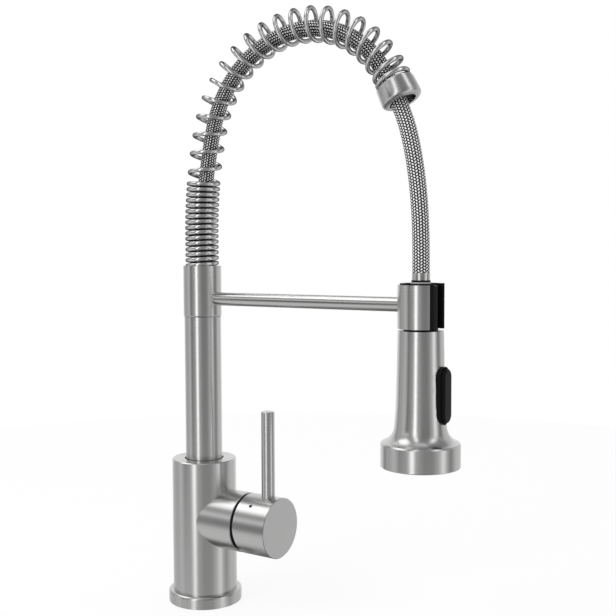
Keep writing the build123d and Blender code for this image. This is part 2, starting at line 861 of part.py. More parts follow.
# Distance along the route after a number of turns, counted from the first open turn
ramp_gain = (closed_pitch + open_pitch) / 2 * ramp_turns
closed_end = open_start + open_pitch * ramp_turns / 2 - ramp_gain
open_end = open_start + open_pitch * open_turns - pitch_loss_per_turn * open_turns**2
last_pitch = open_pitch - 2 * pitch_loss_per_turn * open_turns
ramp_end = open_end + (last_pitch + closed_pitch) / 2 * end_ramp_turns


def along(turn):
    if turn < -ramp_turns / 2:
        return closed_end + closed_pitch * (turn + ramp_turns / 2)
    if turn < ramp_turns / 2:
        into = turn + ramp_turns / 2
        return closed_end + closed_pitch * into + (open_pitch - closed_pitch) * into**2 / (2 * ramp_turns)
    if turn < open_turns:
        return open_start + open_pitch * turn - pitch_loss_per_turn * turn**2
    if turn < open_turns + end_ramp_turns:
        into = turn - open_turns
        return open_end + last_pitch * into + (closed_pitch - last_pitch) * into**2 / (2 * end_ramp_turns)
    return ramp_end + closed_pitch * (turn - open_turns - end_ramp_turns)


first_turn = -ramp_turns / 2 - (closed_end - wire_radius - seat_play) / closed_pitch
coil_stop = cap_start + cap_cup_depth - wire_radius - seat_play
last_turn = open_turns + end_ramp_turns + (coil_stop - ramp_end) / closed_pitch


# A point of the wire's centreline, wound right-handed about the route
def coil_point(turn):
    x, z, heading, bend = on_route(along(turn))
    angle = -2 * pi * turn
    radius = coil_radius - coil_end_draw_in * max(0.0, 1 - 2 * (last_turn - turn))
    outward = radius * cos(angle)
    return Vector(x - outward * cos(heading), radius * sin(angle), z + outward * sin(heading))


def coil_heading(turn):
    step = 0.001
    return (coil_point(turn + step) - coil_point(turn - step)).normalized()


# Least gap of the wire to itself, on points a twelfth of a turn apart
samples_per_turn = 12
sample_count = int((last_turn - first_turn) * samples_per_turn)
samples = [coil_point(first_turn + index / samples_per_turn) for index in range(sample_count + 1)]
spring_gap = min(
    (samples[index] - samples[index + other]).length
    for index in range(sample_count)
    for other in range(samples_per_turn // 2, 2 * samples_per_turn)
    if index + other <= sample_count
)
print(f"spring: {last_turn - first_turn:.1f} turns, least gap {spring_gap - 2 * wire_radius:.2f} mm")

# Spring: one wire swept on biarcs of half a turn, with a straight end of one diameter
with BuildPart() as arch_spring:
    half_turns = round(2 * (last_turn - first_turn))
    marks = [first_turn + (last_turn - first_turn) * index / half_turns for index in range(half_turns + 1)]
    with BuildLine() as wire_path:
        start = coil_point(marks[0])
        start_heading = coil_heading(marks[0])
        wire_start = start - start_heading * 2 * wire_radius
        Line(wire_start, start)
        for mark in marks[1:]:
            end = coil_point(mark)
            end_heading = coil_heading(mark)
            chord = end - start
            both = chord.dot(start_heading + end_heading)
            spread = 2 * (1 - start_heading.dot(end_heading))
            reach_out = (sqrt(both**2 + spread * chord.dot(chord)) - both) / spread
            first_corner = start + start_heading * reach_out
            second_corner = end - end_heading * reach_out
            middle = (first_corner + second_corner) * 0.5
            TangentArc(start, middle, tangent=start_heading)
            TangentArc(middle, end, tangent=second_corner - first_corner)
            start = end
            start_heading = end_heading
        Line(end, end + end_heading * 2 * wire_radius)
    with BuildSketch(Plane(origin=wire_start, x_dir=(0, 0, 1), z_dir=coil_heading(marks[0]))):
        RegularPolygon(wire_radius, wire_sides)
    sweep(path=wire_path.wires()[0], clean=False)
arch_spring.part.label = "arch_spring"

# End cap, turned about the end of the route
cap_x, cap_z, cap_heading, cap_bend = on_route(cap_start)
cap_travel = Vector(sin(cap_heading), 0, cos(cap_heading))
cap_outward = Vector(-cos(cap_heading), 0, sin(cap_heading))
cap_centre = Vector(cap_x, 0, cap_z)
cap_plane = Plane(origin=cap_centre, x_dir=cap_outward, z_dir=(0, 1, 0))
with BuildPart() as spring_end_cap:
    with BuildSketch(cap_plane) as cap_profile:
        with BuildLine():
            Polyline(
                (cap_bottom_radius, cap_widest_at),
                (cap_bottom_radius, cap_length),
                (cap_bore, cap_length),
                (cap_bore, cap_cup_depth),
                (cap_cup_radius, cap_cup_depth),
                (cap_cup_radius, 0),
                (cap_top_radius, 0),
                (cap_bottom_radius, cap_widest_at),
            )
        make_face()
        lower_corner = cap_profile.vertices().group_by(Axis.Y)[-1].sort_by(Axis.X)[-1]
        fillet(lower_corner, cap_lower_round)
    revolve(axis=Axis(cap_centre, cap_travel))
spring_end_cap.part.label = "spring_end_cap"

# Hose inside the spring, nearer to the inner side of the bend
hose_rise = rise_radius - hose_inward
hose_fall = fall_radius - hose_inward
bend_x, bend_z, bend_heading, bend_rate = on_route(arch_straight + route[1][0])
hose_lean_offset = bend_x + hose_inward * cos(bend_heading)
hose_lean_radius = hose_lean_offset / (1 - cos(bend_heading))
hose_lean_end = bend_z - hose_inward * sin(bend_heading)
hose_lean_start = hose_lean_end - hose_lean_radius * sin(bend_heading)
hose_cap_point = cap_centre - cap_outward * hose_inward
hose_split_point = hose_cap_point + cap_travel * hose_split
with BuildPart() as hose_in_arch:
    with BuildLine() as held_path:
        straight = Line((0, 0, hose_start), (0, 0, hose_lean_start))
        lean = TangentArc(straight @ 1, (hose_lean_offset, 0, hose_lean_end), tangent=(0, 0, 1))
        top = Vector(hose_lean_offset, 0, hose_lean_end) + Vector(
            hose_rise * cos(bend_heading), 0, hose_rise * (1 - sin(bend_heading))
        )
        rise = TangentArc(lean @ 1, top, tangent=lean % 1)
        fall = TangentArc(top, hose_cap_point, tangent=(1, 0, 0))
        Line(hose_cap_point, hose_split_point)
    with BuildSketch(Plane.XY.offset(hose_start)):
        Circle(hose_radius)
    sweep(path=held_path.wires()[0])
hose_in_arch.part.label = "hose_in_arch"

# Free hose from the end cap down to its ferrule
with BuildPart() as hose_free:
    corners = [hose_split_point, hose_split_point + cap_travel * hose_first_run]
    corners += [Vector(reach - behind, 0, ferrule_top + above) for behind, above in hose_points]
    corners += [Vector(reach, 0, ferrule_top)]
    bend_radii = []
    for before, corner, after in zip(corners, corners[1:], corners[2:]):
        run_in = corner - before
        run_out = after - corner
        turn_angle = radians(run_in.get_angle(run_out))
        bend_radii.append(0.45 * min(run_in.length, run_out.length) / tan(turn_angle / 2))
    print("free hose radii:", [round(value) for value in bend_radii])
    with BuildLine() as free_path:
        FilletPolyline(*corners, radius=bend_radii)
    with BuildSketch(Plane(origin=hose_split_point, z_dir=cap_travel)):
        Circle(hose_radius)
    sweep(path=free_path.wires()[0])
hose_free.part.label = "hose_free"
free_length = free_path.wires()[0].length
free_volume = pi * hose_radius**2 * free_length
print(f"free hose: {free_length:.1f} mm long, volume {hose_free.part.volume / free_volume:.4f} of its section")

# End of the hose: crimped ferrule, washer, and the stem that the head turns on
with BuildPart() as hose_ferrule:
    revolve(ring(hose_bore, ferrule_radius, ferrule_bottom, ferrule_top, head_plane), axis=head_axis)
hose_ferrule.part.label = "hose_ferrule"

with BuildPart() as hose_washer:
    revolve(ring(hose_bore, hose_washer_radius, hose_nut_top, ferrule_bottom, head_plane), axis=head_axis)
hose_washer.part.label = "hose_washer"

with BuildPart() as hose_nut:
    seal_low = head_seal_z - head_seal_section / 2 - groove_play
    seal_high = head_seal_z + head_seal_section / 2 + groove_play
    seal_outer = hose_stem_radius + 2 * running_gap
    seal_inner = seal_outer - head_seal_section
    clip_top = stem_chamber_top - moving_gap
    clip_bottom = clip_top - clip_thickness
    revolve(ring(hose_stem_bore, hose_nut_radius, hose_nut_bottom, hose_nut_top, head_plane), axis=head_axis)
    revolve(ring(hose_stem_bore, hose_stem_radius, hose_stem_bottom, hose_nut_bottom, head_plane), axis=head_axis)
    revolve(
        ring(seal_inner, hose_nut_radius, seal_low, seal_high, head_plane),
        axis=head_axis,
        mode=Mode.SUBTRACT,
    )
    revolve(
        ring(clip_groove_radius, hose_nut_radius, clip_bottom, clip_top, head_plane),
        axis=head_axis,
        mode=Mode.SUBTRACT,
    )
hose_nut.part.label = "hose_nut"

with BuildPart() as head_seal:
    revolve(
        ring(
            seal_inner,
            seal_outer,
            head_seal_z - head_seal_section / 2,
            head_seal_z + head_seal_section / 2,
            head_plane,
        ),
        axis=head_axis,
    )
head_seal.part.label = "head_seal"

with BuildPart() as hose_clip:
    revolve(ring(clip_groove_radius, clip_radius, clip_bottom, clip_top, head_plane), axis=head_axis)
hose_clip.part.label = "hose_clip"

# Pill-shaped outline of the button and its frame, seen from the front of the head
def pill(at_x, height, width):
    with BuildSketch(Plane.YZ.offset(reach + at_x)) as sketch:
        with Locations((0, button_z)):
            SlotOverall(height, width, rotation=90)
    return sketch.sketch


# Spray head: steel shell with its flare and rim
with BuildPart() as head_shell:
    inner_waist = head_waist_radius - head_wall
    with BuildSketch(head_plane) as head_profile:
        with BuildLine():
            side = Line((head_top_radius, head_top), (head_waist_radius, head_waist_z))
            waist = TangentArc(side @ 1, (head_flare_radius, head_flare_z), tangent=side % 1)
            flare = TangentArc(waist @ 1, (head_shoulder_radius, head_shoulder_z), tangent=waist % 1)
            Polyline(
                flare @ 1,
                (rim_radius, rim_top),
                (rim_radius, rim_bottom),
                (rim_radius - rim_wall, rim_bottom),
                (rim_radius - rim_wall, bell_top),
                (head_shoulder_radius - 3 * head_wall, head_shoulder_z - head_wall / 2),
                (head_flare_radius - head_wall / 2, head_flare_z - 2 * head_wall),
                (inner_waist, head_waist_z),
                (head_top_radius - head_wall, head_top - head_wall),
                (head_neck_radius, head_top - head_wall),
                (head_neck_radius, head_top),
                side @ 0,
            )
        make_face()
        rim_corner = head_profile.vertices().group_by(Axis.Y)[0].sort_by(Axis.X)[-1]
        fillet(rim_corner, rim_lower_round)
    revolve(axis=head_axis)
    extrude(pill(bezel_back, bezel_height, bezel_width), amount=bezel_front, mode=Mode.SUBTRACT)
head_shell.part.label = "head_shell"

# Water way of the head: neck in the dock, tube with the diverter, bell over the spray face
with BuildPart() as head_core:
    neck_edge = head_neck_radius - head_neck_chamfer
    stem_bore_radius = hose_stem_radius + 3 * running_gap
    revolve(
        outline(
            (
                (stem_bore_radius, head_neck_top),
                (neck_edge, head_neck_top),
                (head_neck_radius, head_neck_top - head_neck_chamfer),
                (head_neck_radius, head_top - head_wall),
                (core_shoulder_radius, head_top - head_wall),
                (core_shoulder_radius, core_shoulder_bottom),
                (core_radius, core_shoulder_bottom - core_shoulder_radius + core_radius),
                (core_radius, core_bell_top),
                (nozzle_outer_radius, bell_top),
                (bell_radius, bell_top),
                (bell_radius, face_top),
                (nozzle_outer_radius, face_top),
                (nozzle_outer_radius, aerator_top),
                (aerator_radius + aerator_wall, aerator_top),
                (aerator_radius + aerator_wall, face_top),
                (aerator_radius, face_top),
                (aerator_radius, aerator_top),
                (core_bore, aerator_top),
                (core_bore, stem_chamber_bottom),
                (stem_chamber_radius, stem_chamber_bottom),
                (stem_chamber_radius, stem_chamber_top),
                (stem_bore_radius, stem_chamber_top),
            ),
            head_plane,
        ),
        axis=head_axis,
    )
    with BuildSketch(Plane.YZ.offset(reach)):
        with Locations((0, button_z)):
            Rectangle(finger_window_width, finger_window_height)
    extrude(amount=2 * core_radius, mode=Mode.SUBTRACT)
head_core.part.label = "head_core"

with BuildPart() as check_valve:
    check_top = stem_chamber_bottom + check_valve_length
    revolve(
        ring(check_valve_bore, stem_chamber_radius, stem_chamber_bottom, check_top, head_plane),
        axis=head_axis,
    )
check_valve.part.label = "check_valve"

with BuildPart() as spray_face:
    recess_bottom = face_bottom + nozzle_recess
    plate_top = face_bottom + face_thickness
    revolve(
        outline(
            (
                (aerator_radius, face_bottom),
                (nozzle_inner_radius, face_bottom),
                (nozzle_inner_radius, recess_bottom),
                (nozzle_outer_radius, recess_bottom),
                (nozzle_outer_radius, face_bottom),
                (bell_radius, face_bottom),
                (bell_radius, face_top),
                (nozzle_outer_radius, face_top),
                (nozzle_outer_radius, plate_top),
                (aerator_radius + aerator_wall, plate_top),
                (aerator_radius + aerator_wall, face_top),
                (aerator_radius, face_top),
            ),
            head_plane,
        ),
        axis=head_axis,
    )
spray_face.part.label = "spray_face"

# Soft nozzle ring, with its nozzles in circles
with BuildPart() as nozzle_ring:
    revolve(
        ring(nozzle_inner_radius, nozzle_outer_radius, face_bottom, recess_bottom, head_plane),
        axis=head_axis,
    )
    with BuildSketch(Plane(origin=(reach, 0, face_bottom))):
        for circle_radius, nozzle_count in zip(nozzle_circle_radii, nozzle_counts):
            with PolarLocations(circle_radius, nozzle_count):
                RegularPolygon(nozzle_size, 6)
    extrude(amount=-nozzle_length)
nozzle_ring.part.label = "nozzle_ring"

with BuildPart() as aerator:
    revolve(
        outline(
            (
                (aerator_radius - aerator_wall, aerator_bottom),
                (aerator_radius, aerator_bottom),
                (aerator_radius, aerator_top),
                (core_bore, aerator_top),
                (core_bore, face_top),
                (aerator_radius - aerator_wall, face_top),
            ),
            head_plane,
        ),
        axis=head_axis,
    )
aerator.part.label = "aerator"

# Frame of the button, through the wall of the shell
with BuildPart() as button_bezel:
    opening_height = bezel_height - 2 * bezel_end_wall
    opening_width = bezel_width - 2 * bezel_wall
    extrude(pill(bezel_back, bezel_height, bezel_width), amount=bezel_front - bezel_back)
    extrude(
        pill(bezel_back, opening_height, opening_width),
        amount=bezel_front - bezel_back,
        mode=Mode.SUBTRACT,
    )
    with BuildSketch(Plane.XZ):
        with Locations((reach + rocker_x, button_z)):
            Circle(rocker_pin_radius)
    extrude(amount=bezel_width, both=True, mode=Mode.SUBTRACT)
button_bezel.part.label = "button_bezel"

with BuildPart() as rocker_pin:
    with BuildSketch(Plane.XZ):
        with Locations((reach + rocker_x, button_z)):
            Circle(rocker_pin_radius)
    extrude(amount=bezel_width / 2 - moving_gap, both=True)
rocker_pin.part.label = "rocker_pin"

# Rocker button, with the finger that moves the spool
with BuildPart() as button_rocker:
    button_height = opening_height - 2 * button_end_play
    button_width = opening_width - 2 * moving_gap
    extrude(pill(button_back, button_height, button_width), amount=button_front - button_back)
    fillet(button_rocker.edges().group_by(Axis.X)[-1], button_edge_round)
    with BuildSketch(Plane.YZ.offset(reach + finger_tip_x)):
        with Locations((0, button_z)):
            Rectangle(finger_width, finger_height)
    extrude(amount=button_back - finger_tip_x)
    with BuildSketch(Plane.XZ):
        with Locations((reach + finger_tip_x, button_z)):
            Circle(finger_tip_radius)
    extrude(amount=finger_width / 2, both=True)
    with BuildSketch(Plane.XZ):
        with Locations((reach + rocker_x, button_z)):
            Circle(rocker_pin_radius + running_gap)
    extrude(amount=bezel_width, both=True, mode=Mode.SUBTRACT)
button_rocker.part.label = "button_rocker"

# Spool of the diverter, with the waist that the finger moves in
with BuildPart() as diverter_spool:
    land_radius = core_bore - running_gap
    half_waist = finger_tip_radius + 2 * running_gap
    revolve(
        outline(
            (
                (spool_bore, button_z - spool_half_length),
                (land_radius, button_z - spool_half_length),
                (land_radius, button_z - half_waist),
                (spool_waist_radius, button_z - half_waist),
                (spool_waist_radius, button_z + half_waist),
                (land_radius, button_z + half_waist),
                (land_radius, button_z + spool_half_length),
                (spool_bore, button_z + spool_half_length),
            ),
            head_plane,
        ),
        axis=head_axis,
    )
diverter_spool.part.label = "diverter_spool"

pieces = (
    base_ring,
    base_gasket,
    valve_body,
    valve_stub,
    swivel_bush,
    swivel_screw,
    cartridge_seal,
    cartridge_housing,
    fixed_disc,
    moving_disc,
    disc_carrier,
    stem_rotor,
    stem_pin,
    cartridge_nut,
    dome_cover,
    lever_stem,
    lever_hub,
    lever_rod,
    hub_screw,
    swivel_insert,
    swivel_o_rings,
    riser_tube,
    arm_collar,
    arm_rod,
    holder_shell,
    holder_liner,
    holder_screw,
    coupling_washer,
    hose_coupling,
    arch_spring,
    spring_end_cap,
    hose_in_arch,
    hose_free,
    hose_ferrule,
    hose_washer,
    hose_nut,
    head_seal,
    hose_clip,
    head_shell,
    head_core,
    check_valve,
    spray_face,
    nozzle_ring,
    aerator,
    button_bezel,
    rocker_pin,
    button_rocker,
    diverter_spool,
)
for piece in pieces:
    export_step(piece.part, f"parts/{piece.part.label}.step")
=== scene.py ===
import json
import math

import bpy
from mathutils import Matrix, Vector


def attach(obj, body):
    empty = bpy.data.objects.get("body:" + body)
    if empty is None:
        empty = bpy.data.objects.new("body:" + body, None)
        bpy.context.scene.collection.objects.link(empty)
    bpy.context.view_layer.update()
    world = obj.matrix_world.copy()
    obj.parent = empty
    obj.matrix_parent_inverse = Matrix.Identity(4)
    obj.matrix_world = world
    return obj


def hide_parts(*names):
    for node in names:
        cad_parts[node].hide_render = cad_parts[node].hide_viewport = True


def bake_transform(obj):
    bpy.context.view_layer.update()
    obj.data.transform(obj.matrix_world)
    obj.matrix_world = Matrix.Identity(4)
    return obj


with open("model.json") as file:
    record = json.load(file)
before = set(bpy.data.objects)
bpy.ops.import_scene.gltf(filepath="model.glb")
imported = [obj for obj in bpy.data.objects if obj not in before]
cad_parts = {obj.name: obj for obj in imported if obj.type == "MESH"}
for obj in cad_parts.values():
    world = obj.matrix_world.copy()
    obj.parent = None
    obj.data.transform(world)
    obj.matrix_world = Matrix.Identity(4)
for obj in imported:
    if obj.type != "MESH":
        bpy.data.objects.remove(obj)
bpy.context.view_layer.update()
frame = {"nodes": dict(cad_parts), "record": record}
nodes = frame["nodes"]
slotOf = {part["node"]: part["material_slot"] for part in frame["record"]["subparts"]}

# The photograph's camera, worked out from the edges of the steel
cameraSetup = {
    "place": (0.4717, -0.5726, 0.2702),
    "forward": (-0.54681, 0.83514, -0.05946),
    "right": (0.83662, 0.54778, 0.0),
    "tiltDegrees": 0.22,  # the right end of the picture sits this much higher
    "lens": 56.14,
    "sensorWidth": 36.0,
    "nearest": 0.02,
    "furthest": 50.0,
}


def makeCamera(setup):
    tilt = math.radians(setup["tiltDegrees"])
    forward, right = Vector(setup["forward"]).normalized(), Vector(setup["right"]).normalized()
    up = right.cross(forward)
    across = right * math.cos(tilt) - up * math.sin(tilt)
    upwards = right * math.sin(tilt) + up * math.cos(tilt)
    data = bpy.data.cameras.new("photoCamera")
    data.lens, data.sensor_width = setup["lens"], setup["sensorWidth"]
    data.clip_start, data.clip_end = setup["nearest"], setup["furthest"]
    camera = bpy.data.objects.new("photoCamera", data)
    turn = Matrix((across, upwards, -forward)).transposed().to_4x4()
    camera.matrix_world = Matrix.Translation(setup["place"]) @ turn
    bpy.context.scene.collection.objects.link(camera)
    bpy.context.scene.camera = camera


makeCamera(cameraSetup)
print("camera set")


# Materials: sums of sockets are written as plain expressions
class Signal:
    def __init__(self, tree, socket):
        self.tree, self.socket = tree, socket

    def maths(self, operation, first, second):
        return addNode(self.tree, "Math", {"operation": operation}, {0: first, 1: second})

    def __add__(self, other):
        return self.maths("ADD", self, other)

    def __radd__(self, other):
        return self.maths("ADD", other, self)

    def __sub__(self, other):
        return self.maths("SUBTRACT", self, other)

    def __rsub__(self, other):
        return self.maths("SUBTRACT", other, self)

    def __mul__(self, other):
        return self.maths("MULTIPLY", self, other)

    def __rmul__(self, other):
        return self.maths("MULTIPLY", other, self)

    def sibling(self, name):
        # Another output of the node that this signal comes from
        return Signal(self.tree, self.socket.node.outputs[name])


def addNode(tree, kind, settings=None, sockets=None, output=0):
    node = tree.nodes.new("ShaderNode" + kind)
    for name, value in (settings or {}).items():
        setattr(node, name, value)
    for name, value in (sockets or {}).items():
        if isinstance(value, Signal):
            tree.links.new(value.socket, node.inputs[name])
        else:
            node.inputs[name].default_value = value
    return Signal(tree, node.outputs[output]) if node.outputs else None


def newMaterial(name):
    material = bpy.data.materials.new(name)
    material.use_nodes = True
    material.node_tree.nodes.clear()
    return material, material.node_tree


def finishMaterial(tree, shader):
    addNode(tree, "OutputMaterial", None, {"Surface": shader})


def grey(level, warmth=0.0):
    return (level * (1 + warmth), level, level * (1 - warmth), 1)


def smoothStep(tree, value, low, high):
    settings = {"interpolation_type": "SMOOTHSTEP"}
    return addNode(tree, "MapRange", settings, {"Value": value, "From Min": low, "From Max": high})


def objectPlace(tree):
    return addNode(tree, "TexCoord", None, None, "Object")


def stretchedNoise(tree, scale, detail=2.0, roughness=0.5):
    stretched = addNode(tree, "VectorMath", {"operation": "MULTIPLY"}, {0: objectPlace(tree), 1: scale})
    sockets = {"Vector": stretched, "Scale": 1.0, "Detail": detail, "Roughness": roughness}
    return addNode(tree, "TexNoise", None, sockets)


def cloudsAt(tree, scale):
    return stretchedNoise(tree, (scale, scale, scale))


def mixColours(tree, factor, first, second):
    return addNode(tree, "Mix", {"data_type": "RGBA"}, {0: factor, 6: first, 7: second}, 2)


def bumpFrom(tree, height, distance):
    return addNode(tree, "Bump", None, {"Height": height, "Distance": distance, "Strength": 1.0})


def paintShadeBetween(tree, colour, paintedShadeLevel, start, end):
    # Painted shade: turns a colour dark between two heights in metres
    height = addNode(tree, "SeparateXYZ", None, {0: objectPlace(tree)}, "Z")
    return mixColours(tree, smoothStep(tree, height, start, end), colour, grey(paintedShadeLevel))


def brushedSteel(name, look):
    material, tree = newMaterial(name)
    lines = stretchedNoise(tree, look["grain"], look["lineDetail"], look["lineBreaks"])
    clouds = cloudsAt(tree, look["cloudScale"])
    shade = lines * look["lineShade"] + clouds * look["cloudShade"]
    shade = shade + (0.5 - 0.5 * (look["lineShade"] + look["cloudShade"]))
    darkSteel, lightSteel = (grey(look[tone], look["warmth"]) for tone in ("darkSteel", "lightSteel"))
    colour = mixColours(tree, shade, darkSteel, lightSteel)
    # Painted shade between two heights, where the look gives one
    if "dark" in look:
        colour = paintShadeBetween(tree, colour, *look["dark"])
    sockets = {
        "Base Color": colour,
        "Metallic": 1.0,
        "Roughness": lines * look["roughLines"] + (look["roughness"] - 0.5 * look["roughLines"]),
        "Normal": bumpFrom(tree, lines, look["bump"]),
    }
    if look["anisotropy"]:
        sockets.update({"Anisotropic": look["anisotropy"], "Anisotropic Rotation": 0.25})
    finishMaterial(tree, addNode(tree, "BsdfPrincipled", None, sockets))
    return material


def plainFinish(name, look):
    material, tree = newMaterial(name)
    grain = cloudsAt(tree, look["grain"])
    sockets = {
        "Base Color": mixColours(tree, cloudsAt(tree, look["cloudScale"]), look["dark"], look["light"]),
        "Metallic": look["metallic"],
        "Roughness": grain * look["roughSpread"] + (look["roughness"] - 0.5 * look["roughSpread"]),
        "Specular IOR Level": look["specular"],
        "Specular Tint": grey(look["edge"]),
        "Normal": bumpFrom(tree, grain, look["bump"]),
    }
    finishMaterial(tree, addNode(tree, "BsdfPrincipled", None, sockets))
    return material


def wovenSteel(name, look):
    material, tree = newMaterial(name)
    height = addNode(tree, "Attribute", {"attribute_name": "braidHeight"}, None, "Fac")
    clouds = cloudsAt(tree, look["cloudScale"])
    # Painted shade: the colour goes from black down in the gaps to the crowns' colour
    lit = smoothStep(tree, height, look["gapEnd"], look["crownStart"])
    colour = mixColours(tree, lit, grey(look["gap"]), grey(look["crown"]))
    # Painted shade between two heights, where the look gives one
    if "dark" in look:
        colour = paintShadeBetween(tree, colour, *look["dark"])
    sockets = {
        "Base Color": colour,
        "Metallic": look["metallic"],
        "Roughness": clouds * look["roughSpread"] + (look["roughness"] - 0.5 * look["roughSpread"]),
    }
    finishMaterial(tree, addNode(tree, "BsdfPrincipled", None, sockets))
    return material


# Brushed steel. grain is the noise scale along X, Y and Z: the brush lines run along the lowest
uprightSteel = {
    "grain": (520.0, 520.0, 9.0),
    "lineDetail": 3.0,
    "lineBreaks": 0.6,
    "cloudScale": 55.0,
    "lineShade": 0.5,
    "cloudShade": 0.2,
    "darkSteel": 0.53,
    "lightSteel": 0.68,
    "warmth": 0.006,
    "roughness": 0.26,
    "roughLines": 0.03,
    "bump": 0.000002,
    "anisotropy": 0.5,
}
# Stub and hub, turned on a lathe
lyingSteel = {**uprightSteel, "grain": (1900.0, 30.0, 30.0), "lineShade": 0.35, "anisotropy": 0.0}
# Arm
rodSteel = {
    **lyingSteel,
    "grain": (9.0, 420.0, 420.0),
    "lineShade": 0.2,
    "roughness": 0.2,
    "bump": 0.000001,
}
# Collar: painted shade on its neck inside the coils: the dark level, and the heights where the painted
# shade starts and is full
collarSteel = {**uprightSteel, "dark": (0.03, 0.2592, 0.2596)}

# Moulded plastics, and the metals without brush lines
blackPlastic = {
    "grain": 3000.0,
    "cloudScale": 60.0,
    "dark": (0.004, 0.004, 0.005, 1),
    "light": (0.007, 0.007, 0.008, 1),
    "metallic": 0.0,
    "roughness": 0.34,
    "roughSpread": 0.1,
    "specular": 0.07,
    "edge": 1.0,
    "bump": 0.00002,
}
plainMetal = {**blackPlastic, "metallic": 1.0, "specular": 0.5}
springWire = {
    **plainMetal,
    "dark": grey(0.62),
    "light": grey(0.8),
    "roughness": 0.05,
    "edge": 0.04,
    "bump": 0.000002,
}
capSteel = {
    **plainMetal,
    "cloudScale": 140.0,
    "dark": grey(0.42),
    "light": grey(0.78),
    "roughness": 0.25,
    "bump": 0.000004,
}
screwSteel = {**plainMetal, "dark": grey(0.3), "light": grey(0.42), "roughness": 0.3}
brass = {
    **plainMetal,
    "dark": (0.52, 0.36, 0.15, 1),
    "light": (0.66, 0.48, 0.22, 1),
    "roughness": 0.32,
}
greyPlastic = {**blackPlastic, "dark": grey(0.42), "light": grey(0.5)}
valvePlastic = {**blackPlastic, "dark": grey(0.48), "light": grey(0.56)}
ceramic = {**blackPlastic, "dark": grey(0.78), "light": grey(0.84), "roughness": 0.16, "specular": 0.5}
sealRubber = {**blackPlastic, "roughness": 0.62, "grain": 1800.0}
nozzleRubber = {**blackPlastic, "dark": grey(0.10), "light": grey(0.13), "roughness": 0.55}

# Braid of the hose: painted shade makes its gaps black, and the stitches' crowns are bright
freeBraid = {
    "cloudScale": 90.0,
    "gap": 0.004,
    "crown": 1.0,
    "gapEnd": 0.4,
    "crownStart": 0.75,
    "metallic": 0.3,
    "roughness": 0.26,
    "roughSpread": 0.1,
}
# Inside the spring it lies in shade, and behind the closed coils nothing of it shows: painted shade turns
# it dark up to their top
heldBraid = {**freeBraid, "metallic": 0.9, "dark": (0.004, 0.3218, 0.321)}

finishes = {
    "brushed_steel": brushedSteel("brushedSteelUpright", uprightSteel),
    "lying_steel": brushedSteel("brushedSteelLying", lyingSteel),
    "rod_steel": brushedSteel("drawnRodSteel", rodSteel),
    "collar_steel": brushedSteel("brushedSteelNeckPaintedShade", collarSteel),
    "spring_wire": plainFinish("drawnSpringWire", springWire),
    "cap_steel": plainFinish("turnedCapSteel", capSteel),
    "screw_steel": plainFinish("screwSteel", screwSteel),
    "brass": plainFinish("turnedBrass", brass),
    "black_plastic": plainFinish("blackMoulding", blackPlastic),
    "grey_plastic": plainFinish("paleGreyMoulding", greyPlastic),
    "valve_plastic": plainFinish("valveMoulding", valvePlastic),
    "ceramic": plainFinish("polishedCeramic", ceramic),
    "rubber": plainFinish("sealRubber", sealRubber),
    "nozzle_rubber": plainFinish("nozzleRubber", nozzleRubber),
    "hose_braid": wovenSteel("wovenSteelSleeve", freeBraid),
    "held_braid": wovenSteel("wovenSteelInSpring", heldBraid),
}

# Nodes whose finish differs from their slot's
ownFinish = {
    "valve_stub": "lying_steel",
    "lever_hub": "lying_steel",
    "hub_screw": "lying_steel",
    "arm_rod": "rod_steel",
    "arm_collar": "collar_steel",
    "rocker_pin": "black_plastic",
}
for name, node in nodes.items():
    for materialSlot in node.material_slots:
        materialSlot.material = finishes[ownFinish.get(name, slotOf[name])]
print("materials made:", len(finishes))

sharpEdge = math.radians(50)


def meshObject(name, points, faces, material):
    mesh = bpy.data.meshes.new(name)
    mesh.from_pydata(points, [], faces)
    mesh.update()
    mesh.shade_smooth()
    mesh.set_sharp_from_angle(angle=sharpEdge)
    mesh.materials.append(material)
    piece = bpy.data.objects.new(name, mesh)
    bpy.context.scene.collection.objects.link(piece)
    return piece


def replaceNode(node):
    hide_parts(node)


def makeTube(name, centres, outwards, sides, radiusAt, material):
    # Closed tube along a line of points; radiusAt gives the radius at a row and a corner
    points, faces = [], []
    last = len(centres) - 1
    for row, (centre, outward) in enumerate(zip(centres, outwards)):
        heading = (centres[min(row + 1, last)] - centres[max(row - 1, 0)]).normalized()
        first = (outward - heading * outward.dot(heading)).normalized()
        second = heading.cross(first)
        for corner in range(sides):
            angle = 2 * math.pi * corner / sides
            spoke = first * math.cos(angle) + second * math.sin(angle)
            points.append(centre + spoke * radiusAt(row, corner))
    for row in range(last):
        low, high = row * sides, (row + 1) * sides
        for corner in range(sides):
            after = (corner + 1) % sides
            faces.append((low + corner, low + after, high + after, high + corner))
    points += [centres[0], centres[last]]
    bottom, top = len(points) - 2, len(points) - 1
    for corner in range(sides):
        after = (corner + 1) % sides
        faces.append((bottom, after, corner))
        faces.append((top, last * sides + corner, last * sides + after))
    return meshObject(name, points, faces, material)


def routePoints(name, route, steps):
    curve = bpy.data.curves.new(name, "CURVE")
    curve.dimensions, curve.resolution_u = "3D", steps
    spline = curve.splines.new("NURBS")
    spline.points.add(len(route) - 1)
    for point, place in zip(spline.points, route):
        point.co = (*place, 1)
    spline.order_u = 3
    spline.use_endpoint_u = True
    line = bpy.data.objects.new(name, curve)
    mesh = bpy.data.meshes.new_from_object(line)
    points = [corner.co.copy() for corner in mesh.vertices]
    bpy.data.objects.remove(line)
    bpy.data.meshes.remove(mesh)
    bpy.data.curves.remove(curve)
    return points


# Woven steel sleeve of the hose: lengthwise columns of slanted stitches, in metres
braid = {
    "columns": 18,
    "cornersPerColumn": 4,
    "stitchLength": 0.002,
    "slant": 0.55,
    "relief": 0.00036,
    "crownShape": 1.8,
    "columnShape": 0.6,
    "steps": 90,
}


